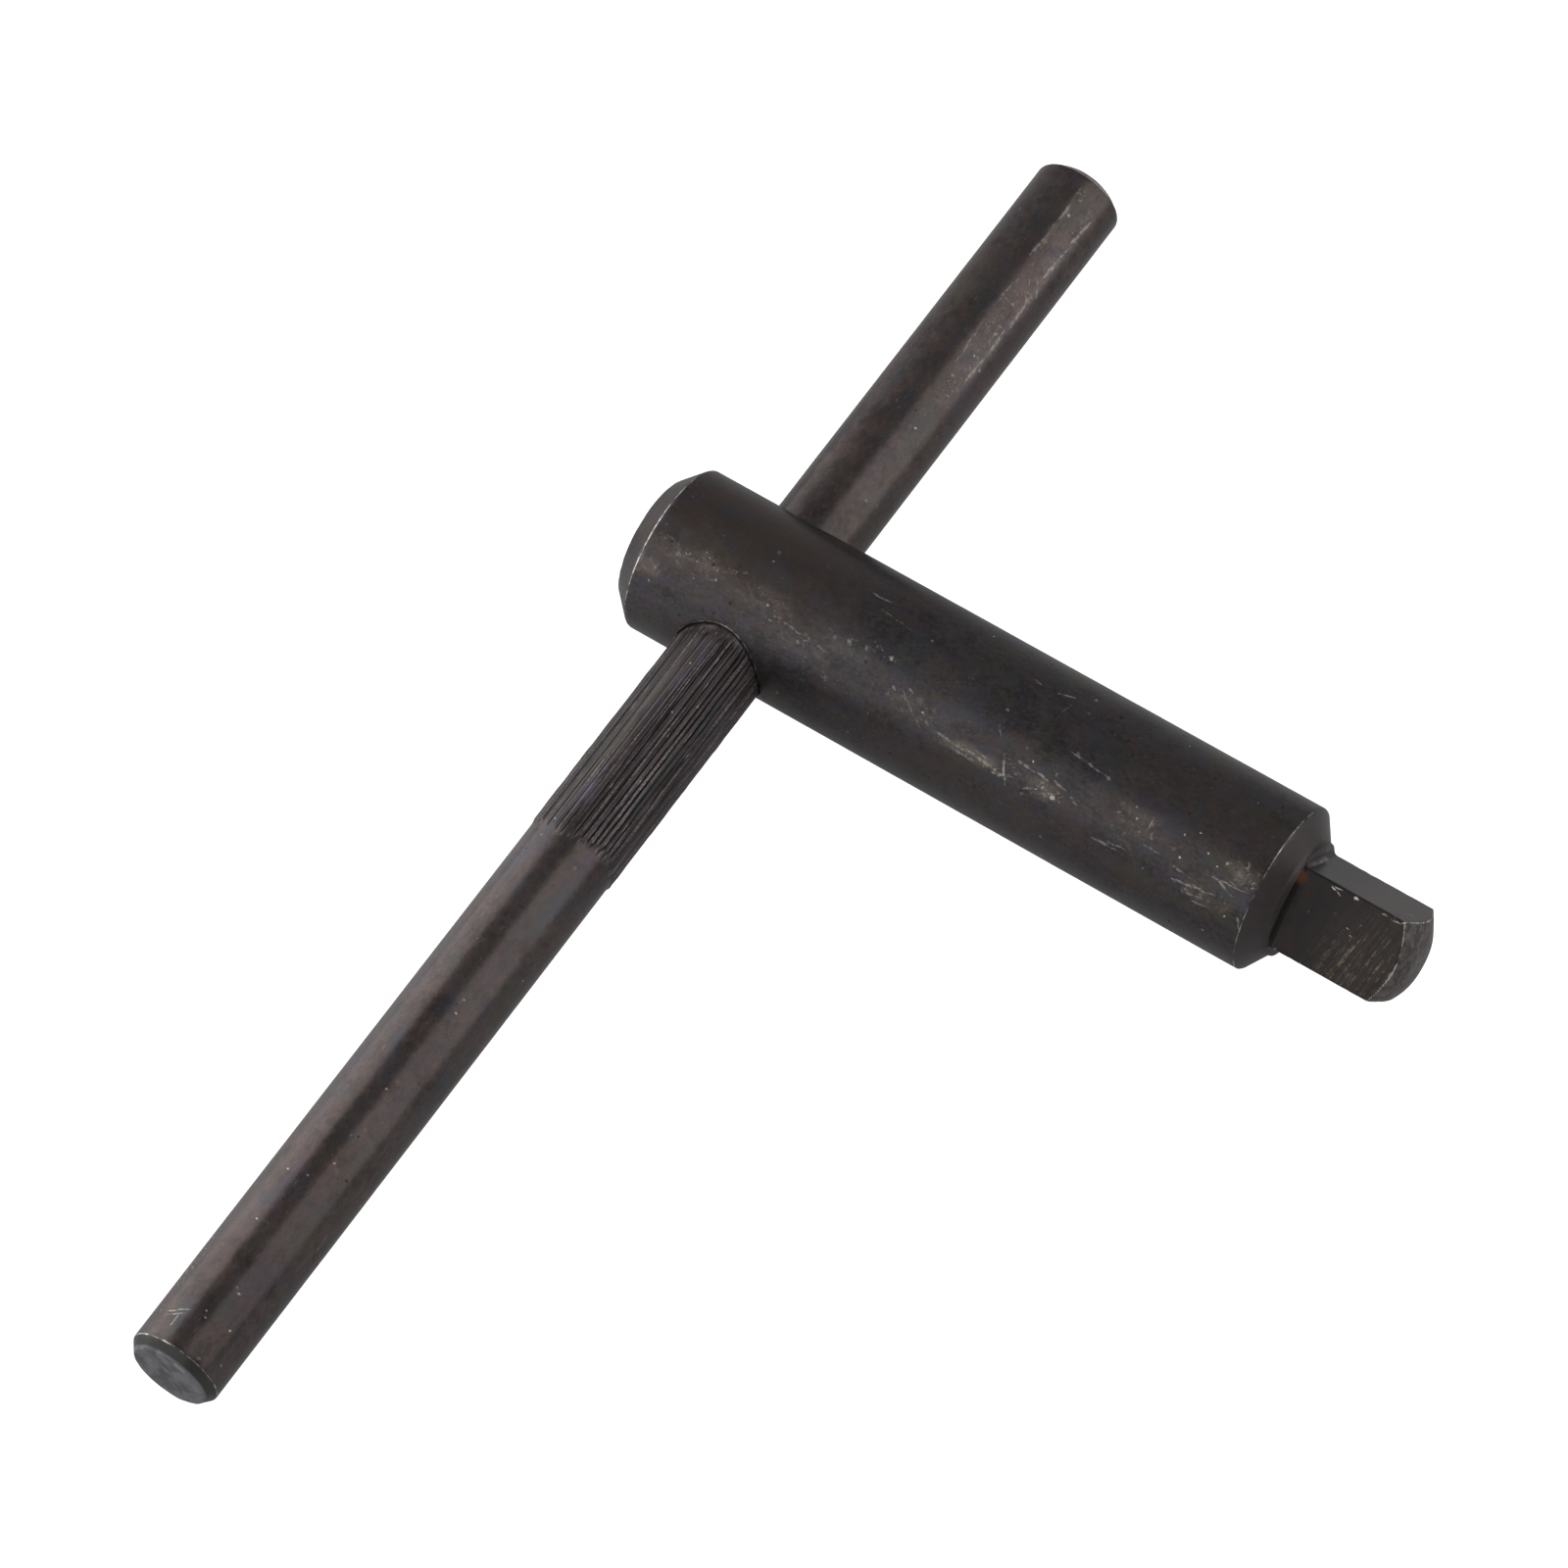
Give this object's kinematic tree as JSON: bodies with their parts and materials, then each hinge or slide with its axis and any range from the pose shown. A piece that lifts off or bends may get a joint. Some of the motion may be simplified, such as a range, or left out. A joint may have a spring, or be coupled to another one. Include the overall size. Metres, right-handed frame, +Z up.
{
  "type": "square-drive T-handle key",
  "caption": "T-handle key: a round blackened shank with a male square, turned by a cross bar that slides in a hole and stops on its knurled middle.",
  "frame": {"origin": "on the shank's axis, in the plane where the square leaves the shank", "axes": "+X along the shank towards the square's tip, +Y along the cross bar towards its short end, +Z up with the key lying flat"},
  "size_m": [0.1, 0.18, 0.02],
  "materials": {
    "key_body_steel": "black oxide, satin, worn brown in patches and bright along the edges",
    "cross_bar_steel": "black oxide, satin, worn brown in patches, pitted grey on the ends"
  },
  "bodies": {
    "key_body": {"key_body": "key_body_steel"},
    "cross_bar": {"cross_bar": "cross_bar_steel"}
  },
  "joints": [
    {"name": "bar_slide", "type": "slide", "parent": "key_body", "child": "cross_bar", "axis": [0, -1, 0], "range_m": [0, 0.055]}
  ]
}
